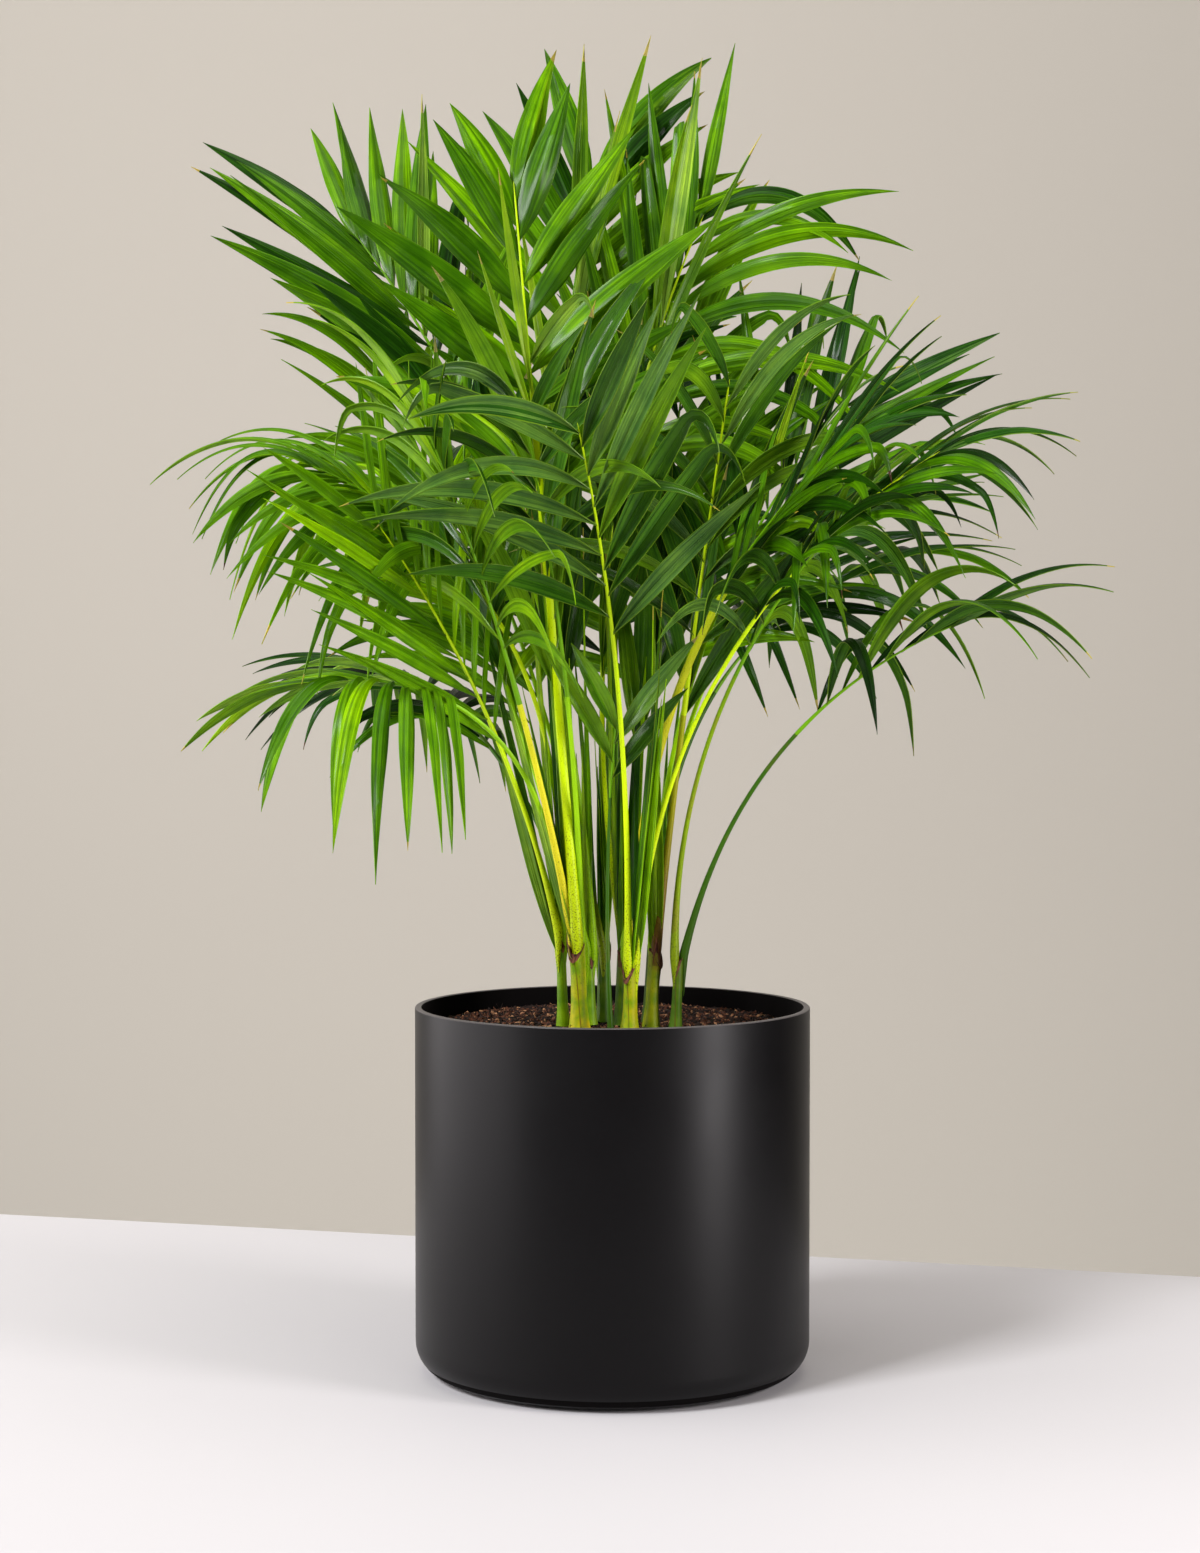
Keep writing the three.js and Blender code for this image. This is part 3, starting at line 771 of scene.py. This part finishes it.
for frond in grown_fronds:
    stem = bmesh.new()
    limb(stem, frond)
    finishes = [stalk_finishes[frond.stalk], rib_finishes[frond.rib]]
    stalk_piece = piece_of(f"frond_{frond.label}_stalk_and_rib", stem, finishes)
    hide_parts(f"stalk_{frond.label}")


# The leaflets
# Long thin blades in pairs up the rib, folded where they stand on it and flat further out, with
# parallel veins and a paler underside. Some ends have dried yellow or brown, and a few curl.
stagger = 0.22
shortest = 0.72
longest_shift = 0.15
root_out = 0.2
side_tilt = 25
low_reach = 2.5
low_closing = 0.6
vary = {
    "place": (0, -0.125, 0.25),
    "opening": (31, -6, 12),
    "lift": (57, -8, 16),
    "long": (83, 0.84, 0.26),
    "wide": (5, 0.85, 0.25),
    "droop": (11, 0.5, 1.1),
    "twist": (17, -45, 90),
    "curl": (23, 0, 1),
    "tint": (41, 0, 1),
    "dry": (67, 0, 1),
}
draw_step = 12.9898
draw_scale = 43758.5453
blade_thick = 0.45
blade_across = 6
blade_along = 26
hook_from = 0.7
hook_bend = 9
twist_power = 1.5
least_width = 0.012
root_width = 0.16
belly = 0.72
pointedness = 0.9
fold_root = 62
fold_blade = 14
fold_fade = 0.22
pleat = 0.035
pleat_count = 3
edge_wave = 0.07
wave_rate = 19
wave_shift = 40
curl_share = 0.1
dry_share = 0.07
brown_share = 0.2


def varied(seed, what):
    """A leaflet's own value of what varies, which follows from its seed."""
    draw, least, spread = vary[what]
    wave = math.sin((seed + draw) * draw_step) * draw_scale
    return least + spread * (wave - math.floor(wave))


class Leaflet:
    """A leaflet from its root on, with its width and bends. Its twist and tint are its own."""

    def __init__(self, seed, root, direction, front, long, wide, droop, curl, dry):
        self.root = root
        self.direction = direction
        self.front = front
        self.long = long
        self.wide = wide
        self.droop = droop
        self.curl = curl
        self.dry = dry
        self.twist = math.radians(varied(seed, "twist"))
        self.tint = varied(seed, "tint")

    def stations(self):
        """Its middle line, which starts in its own direction and bends down with its weight: each
        place with the directions out of the blade and across it."""
        at = self.root.copy()
        side = self.front
        frames = []
        for i in range(blade_along + 1):
            along = i / blade_along
            bend = self.droop * 2 * along
            if self.curl < curl_share:
                bend += max(0, along - hook_from) * hook_bend
            step = (self.direction - up * bend).normalized()
            side = (side - step * side.dot(step)).normalized()
            face = Matrix.Rotation(self.twist * along**twist_power, 3, step) @ side
            frames.append((at.copy(), face, step.cross(face)))
            at += step * self.long / blade_along
        return frames


def paired_leaflet(frond, pair, side):
    """One leaflet of a pair, whose length and angles follow from its place on the frond."""
    seed = frond.number * 100 + pair * 2 + (1 if side > 0 else 0)
    place = (pair + 0.5 + stagger * side + varied(seed, "place")) / frond.pairs
    t = frond.share + (1 - frond.share) * min(1, place)
    low = max(0, -place) * low_reach
    place = min(1, max(0, place))
    heading, face, across = frond.frame(t)
    widest, closest = frond.spread
    opened = widest + (closest - widest) * place + side * frond.skew
    opening = math.radians((opened + varied(seed, "opening")) * (1 - low * low_closing))
    lift = math.radians(frond.lift + varied(seed, "lift"))
    sideways = across * side * math.cos(lift) + face * math.sin(lift)
    direction = (heading * math.cos(opening) + sideways * math.sin(opening)).normalized()
    front = (face * math.cos(lift) - across * side * math.sin(lift)).normalized()
    front = Matrix.Rotation(math.radians(side * side_tilt), 3, direction) @ front
    bulge = math.sin(math.pi * min(1, place + longest_shift))
    root = frond.point(t) + across * side * root_out
    long = frond.long * (shortest + (1 - shortest) * bulge) * varied(seed, "long")
    wide = frond.wide * varied(seed, "wide")
    droop = frond.droop[0 if side < 0 else 1] * varied(seed, "droop")
    curl = max(varied(seed, "curl"), frond.least_curl)
    return Leaflet(seed, root, direction, front, long, wide, droop, curl, varied(seed, "dry"))


def half_width(along):
    """The share of its full width that a leaflet has at a share of its length: a narrow root, the
    belly before the middle and a long point."""
    return max(least_width, root_width * (1 - along), math.sin(math.pi * along**belly) ** pointedness)


def blade(mesh, leaflet, tone_name, dry_name="straw"):
    """A leaflet as one sheet of faces, folded along its middle and pleated, with wavy edges. Its
    UV map runs across it and along it."""
    made = bmesh.ops.create_grid(
        mesh, x_segments=blade_across, y_segments=blade_along, size=0.5, calc_uvs=True
    )
    frames = leaflet.stations()
    dried = leaflet.dry**4 * dry_share
    faces = {face for vertex in made["verts"] for face in vertex.link_faces}
    for face in faces:
        along = face.calc_center_median().y + 0.5
        face.material_index = leaf_order.index(dry_name if along > 1 - dried else tone_name)
    for vertex in made["verts"]:
        across = vertex.co.x * 2
        i = round((vertex.co.y + 0.5) * blade_along)
        along = i / blade_along
        at, face, sideways = frames[i]
        half = leaflet.wide / 2 * half_width(along)
        fold = math.radians(fold_blade + (fold_root - fold_blade) * math.exp(-along / fold_fade))
        swing = math.sin(along * wave_rate + leaflet.tint * wave_shift)
        wave = edge_wave * swing * abs(across) * (1 - along)
        ridges = pleat * math.cos(across * pleat_count * math.pi)
        out = sideways * across * half * math.cos(fold)
        rise = face * half * (ridges + wave - abs(across) * math.sin(fold))
        vertex.co = (at + out + rise) * MM


def with_undersides(mesh):
    """Gives the blades their thickness, with the undersides' finishes on their far faces."""
    shell = bmesh.ops.solidify(mesh, geom=mesh.faces[:], thickness=blade_thick * MM)
    for part in shell["geom"]:
        if isinstance(part, bmesh.types.BMFace):
            part.material_index += len(leaf_order)


stripe_stretch = (8, 0.7, 1)
stripe_change = 7.0
vein_rate = 130
margin_from = 0.487
# The shares of a leaf's tone in its painted shade and in its painted highlight.
shaded_share = (0.68, 0.86, 1, 1)
sunny_share = (1.34, 1.12, 0.8, 1)
upper_depth = 0.85
under_depth = 0.5


def leaf_finish(name, upper, light_through, stripe_depth, thin):
    """A leaf's skin, pleated along its length into light and dark stripes, partly random streaks of
    tone and partly painted highlight and painted shade on the pleats, with fine veins between them,
    painted shade towards the root and a thin pale margin, and some of the light comes through it."""
    skin = Finish(name, {"Specular IOR Level": 0.06, "Coat Weight": 0.16, "Coat Roughness": 0.2})
    spot = skin.place("UV")
    across = skin.part(spot, "X")
    along = skin.part(spot, "Y")
    # The stripes along the leaf are partly random streaks of tone and partly painted highlight and
    # painted shade on its pleats.
    drawn = {0: spot, 1: stripe_stretch, 2: skin.shade(skin.place(), stripe_change)}
    drawn_out = skin.node("ShaderNodeVectorMath", {"operation": "MULTIPLY_ADD"}, drawn)
    streaks = skin.node("ShaderNodeTexNoise", {}, {"Vector": drawn_out, "Scale": 1.0, "Detail": 3.0})
    stripes = skin.span(streaks, 0.38, 0.62)
    veins = skin.node("ShaderNodeMath", {"operation": "SINE"}, {0: across * vein_rate}) * 0.5 + 0.5
    patches = skin.span(skin.grain(18, detail=3), 0.35, 0.65)
    light = (stripes * stripe_depth + (1 - stripe_depth * 0.6)) * (patches * 0.34 + 0.83)
    # Darker towards each leaflet's root, a painted shade, and a little darker on the fine veins.
    light = light * (skin.span(along, 0.0, 0.35) * 0.25 + 0.75) * (1 - veins**3 * 0.1)
    # Shaded and sunny copies of the leaf's tone, a painted shade and a painted highlight, picked by the
    # stripes and the patches.
    shaded = tuple(color * share for color, share in zip(upper, shaded_share))
    sunny = tuple(color * share for color, share in zip(upper, sunny_share))
    color = skin.shade(skin.mix(stripes * 0.5 + patches * 0.5, shaded, sunny), light)
    color = skin.mix((abs(across - 0.5) > margin_from) * 0.28, color, tone(160, 200, 40))
    pleats = skin.relief(stripes + veins * 0.15, 0.6, 0.9)
    skin.feed({"Base Color": color, "Roughness": patches * 0.12 + 0.34, "Normal": pleats})
    through = skin.node("ShaderNodeBsdfTranslucent", {}, {"Color": light_through})
    surface = Value(skin, skin.surface.outputs[0])
    blend = skin.node("ShaderNodeMixShader", {}, {0: thin, 1: surface, 2: through})
    skin.tree.links.new(blend.socket, skin.tree.nodes["Material Output"].inputs["Surface"])
    return skin


leaf_tones = {
    "bright": (tone(104, 162, 0), tone(190, 238, 0), tone(124, 170, 14), 0.28),
    "mid": (tone(72, 126, 0), tone(156, 214, 0), tone(98, 146, 18), 0.2),
    "dark": (tone(30, 74, 0), tone(98, 168, 0), tone(62, 112, 18), 0.08),
    "deep": (tone(15, 46, 0), tone(70, 134, 0), tone(44, 84, 12), 0.05),
    # The grey tone is dark green with a little blue in it: a painted bluish sheen.
    "grey": (tone(36, 82, 14), tone(98, 160, 20), tone(84, 128, 50), 0.08),
    "lime": (tone(136, 192, 0), tone(212, 248, 0), tone(154, 196, 34), 0.32),
    "fresh": (tone(98, 156, 8), tone(190, 234, 20), tone(138, 182, 62), 0.24),
    "straw": (tone(196, 180, 74), tone(226, 214, 120), tone(196, 184, 110), 0.3),
    "brown": (tone(92, 58, 30), tone(120, 80, 40), tone(96, 66, 40), 0.1),
}
leaf_order = list(leaf_tones)
leaf_finishes = [
    leaf_finish(f"leaf_{name}", upper, through, upper_depth, thin)
    for name, (upper, through, _, thin) in leaf_tones.items()
]
leaf_finishes += [
    leaf_finish(f"leaf_{name}_underside", under, through, under_depth, thin)
    for name, (_, through, under, thin) in leaf_tones.items()
]
neighbours = {
    "bright": ("bright", "lime", "bright", "mid", "bright", "mid", "mid"),
    "mid": ("mid", "bright", "dark", "mid", "fresh", "bright", "mid"),
    "dark": ("dark", "deep", "mid", "dark", "grey", "deep", "mid"),
    "grey": ("grey", "dark", "grey", "deep", "grey", "mid"),
    "fresh": ("fresh", "bright", "fresh", "mid", "fresh", "lime", "fresh"),
}
for frond in grown_fronds:
    feather = bmesh.new()
    feather.loops.layers.uv.verify()
    for pair in range(-frond.below, round(frond.pairs)):
        for side in (-1, 1):
            leaflet = paired_leaflet(frond, pair, side)
            choices = neighbours[frond.leaf]
            tone_name = choices[int(leaflet.tint * len(choices))]
            blade(feather, leaflet, tone_name, "straw" if leaflet.curl > brown_share else "brown")
    with_undersides(feather)
    leaf_piece = piece_of(f"frond_{frond.label}_leaflets", feather, leaf_finishes, sharp=55)
    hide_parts(f"frond_{frond.label}")


# The young leaves and the single blades
# Narrow blades of the next leaves, still folded, stand up out of the sheaths' mouths between the
# stalks. Single blades stand on the ribs among the leaflets, and dark ones deep inside the crown,
# where their deep and dark tones are painted shade.
young_tones = ("dark", "lime", "bright", "lime", "mid", "lime", "fresh", "bright", "dark")
young_seed = 5000
young_ring = 1.6
young_sunk = 8
young_lean = 0.06
young_sway = 0.01
young_long = 114
young_turns = 3
young_droop = 0.05
young_slender = 3.5
young_widening = 5
clump_reach = 50
widest_opening = 6
# Each single blade's tone, its frond, the height of its root and its tip, width, droop and curl.
single_blades = [
    ("lime", 1, 530, (-61, -34, 650), 6),
    ("lime", 1, 512, (-72, -34, 606), 5),
    ("fresh", 1, 548, (-14, -40, 600), 9, 0.3, 0),
    ("bright", 4, 560, (34, 20, 700), 6, 0.4),
    ("lime", 5, 450, (104, -8, 560), 5, 0.1),
    ("fresh", 2, 545, (-128, -4, 596), 8, 0.9, 0),
    ("mid", 11, 440, (-97, 4, 566), 11),
    ("bright", 11, 425, (-72, -20, 520), 9),
    ("dark", 16, 340, (20, 24, 486), 13),
    ("dark", 16, 350, (44, 40, 480), 12),
    ("mid", 16, 330, (2, 24, 452), 11),
    ("deep", 16, 356, (34, 28, 512), 12),
    ("dark", 4, 410, (24, 20, 520), 11),
    ("mid", 1, 400, (-26, -20, 500), 9),
    ("dark", 1, 370, (-44, -10, 470), 8),
    ("dark", 5, 420, (90, 14, 360), 6, 0.2),
    ("dark", 5, 440, (112, 20, 366), 6, 0.3),
    ("fresh", 3, 540, (-2, 60, 700), 7, 0.2),
    ("lime", 3, 500, (-50, 40, 640), 6, 0.1),
    ("mid", 4, 520, (70, 50, 690), 7, 0.2),
    ("mid", 3, 605, (-16, 82, 741), 10),
    ("bright", 3, 590, (22, 64, 742), 11),
    ("fresh", 4, 572, (50, 66, 730), 10, 0.04),
    ("mid", 3, 560, (12, 74, 716), 9),
    ("fresh", 2, 570, (-106, 40, 704), 8),
]
# The deep and dark tones of the blades deep inside the crown are painted shade.
inner_shade_tones = ("deep", "dark", "deep", "mid")
inner_fronds = (16, 4, 3, 1, 5, 17)
inner_seeds = range(900, 942)
inner_low = 345
inner_rise = 150
inner_slender = 9
inner_widening = 5
inner_aside = 11
inner_lean = 3
inner_back = 14
inner_tall = 125
inner_droop = 0.25


def young_leaf(cane, number):
    """A leaflet on its own in the mouth of a cane."""
    seed = young_seed + number
    out = Vector((*cane["at"], 0)) / clump_reach
    around = math.pi * varied(seed, "tint")
    ring = Vector((math.cos(around), math.sin(around), -young_sunk)) * young_ring
    opened = varied(seed, "opening") / widest_opening
    sway = Vector((varied(seed, "opening"), varied(seed, "lift"), 0)) * young_sway
    direction = (up + out * (young_lean + cane["splay"] * opened**2) + sway).normalized()
    front = direction.orthogonal()
    front.rotate(Matrix.Rotation(around * young_turns, 3, direction))
    dry = varied(seed, "dry")
    long = young_long * varied(seed, "long") * (1 + dry)
    wide = young_slender + young_widening * varied(seed, "curl")
    return Leaflet(seed, cane_top(cane) + ring, direction, front, long, wide, young_droop, 1, dry)


def single_blade(seed, root, tip, wide, droop=0.0, curl=1):
    """A leaflet that isn't one of a pair, from its root towards a given tip."""
    direction = (tip - root).normalized()
    front = direction.cross(Vector((1, 0, 0))).normalized()
    return Leaflet(seed, root, direction, front, (tip - root).length, wide, droop, curl, 1)


def at_height(number, height):
    """The place at a height on the stalk or rib of a frond."""
    frond = grown_fronds[number - 1]
    places = [frond.point(i / stalk_steps) for i in range(stalk_steps)]
    return next(place for place in places if place.z > height)


blades = bmesh.new()
blades.loops.layers.uv.verify()
for seed, (tone_name, number, height, tip, *shape) in enumerate(single_blades):
    blade(blades, single_blade(seed, at_height(number, height), Vector(tip), *shape), tone_name)
for seed in inner_seeds:
    number = inner_fronds[seed % len(inner_fronds)]
    root = at_height(number, inner_low + inner_rise * varied(seed, "dry"))
    aside = varied(seed, "opening") * inner_aside
    back = varied(seed, "lift") * inner_lean + inner_back
    tip = root + Vector((aside, back, inner_tall))
    wide = inner_slender + inner_widening * varied(seed, "curl")
    inner = single_blade(seed, root, tip, wide, inner_droop)
    blade(blades, inner, inner_shade_tones[seed % len(inner_shade_tones)])
owners = [cane for cane in canes.values() for _ in range(cane["young"])]
for number, cane in enumerate(owners):
    blade(blades, young_leaf(cane, number), young_tones[number % len(young_tones)])
with_undersides(blades)
young_piece = piece_of("young_leaves", blades, leaf_finishes, sharp=55)


# The setting
# A white table top whose far edge runs askew behind the pot, a warm grey wall further back, and
# studio light: a soft box overhead, the key box in front at the upper left, a long low box at the
# left, a narrow strip at the right and a wash on the wall.
def slab(name, corners, color, roughness):
    """A flat face of the room, no part of the plant."""
    plain = Finish(name, {"Base Color": color, "Roughness": roughness, "Specular IOR Level": 0.2})
    mesh = bmesh.new()
    mesh.faces.new([mesh.verts.new(corner) for corner in corners])
    data = mesh_data(name, mesh)
    data.materials.append(plain.material)
    in_scene(name, data)


table_turn = math.radians(-15)
table_middle = Vector((0, 0.343, 0))
table_edge = Vector((math.cos(table_turn), math.sin(table_turn), 0))
far_edge = [table_middle + table_edge * 4, table_middle - table_edge * 4]
slab("table", [(-4, -3, 0), (4, -3, 0), *far_edge], tone(195, 193, 195), 0.6)
slab("wall", [(-5, 2.4, -2.5), (5, 2.4, -2.5), (5, 2.4, 5), (-5, 2.4, 5)], tone(190, 184, 174), 0.9)


def lamp(name, place, target, size, power, color):
    """A soft box that faces its target."""
    light = bpy.data.lights.new(name, "AREA")
    light.shape = "RECTANGLE"
    light.size, light.size_y = size
    light.energy = power
    light.color = color
    made = in_scene(name, light)
    made.location = place
    made.rotation_euler = (Vector(target) - Vector(place)).to_track_quat("-Z", "Y").to_euler()


lamp("overhead_box", (0.0, -0.5, 4.0), (0, 0.1, 0), (3.0, 2.6), 76, (1.0, 0.965, 0.89))
lamp("key_box", (-2.7, -2.5, 3.3), (0, 0, 0.4), (1.2, 1.2), 235, (1.0, 1.0, 1.02))
lamp("left_box", (-1.6, 0.0, 0.5), (0, 0, 0.2), (2.3, 1.0), 28, (1.0, 0.95, 0.96))
lamp("right_strip", (1.28, -0.8, 0.5), (0, 0, 0.2), (0.4, 1.1), 26, (1.0, 0.95, 0.96))
lamp("wall_wash", (0.0, 0.9, -1.3), (-0.3, 2.4, 0.2), (3.0, 0.3), 18, (1.0, 0.98, 0.96))
world = bpy.data.worlds.new("room")
world.use_nodes = True
background = world.node_tree.nodes["Background"]
background.inputs["Color"].default_value = (1.0, 0.99, 0.97, 1)
background.inputs["Strength"].default_value = 0.025
bpy.context.scene.world = world
bpy.context.scene.view_settings.view_transform = "Standard"

camera_tilt = 1.77
camera_data = bpy.data.cameras.new("camera")
camera_data.lens = 66.2
camera_data.sensor_width = 36
camera = in_scene("camera", camera_data)
camera.location = (-0.0068, -1.560, 0.3736)
camera.rotation_euler = (math.radians(90 - camera_tilt), 0, 0)
bpy.context.scene.camera = camera
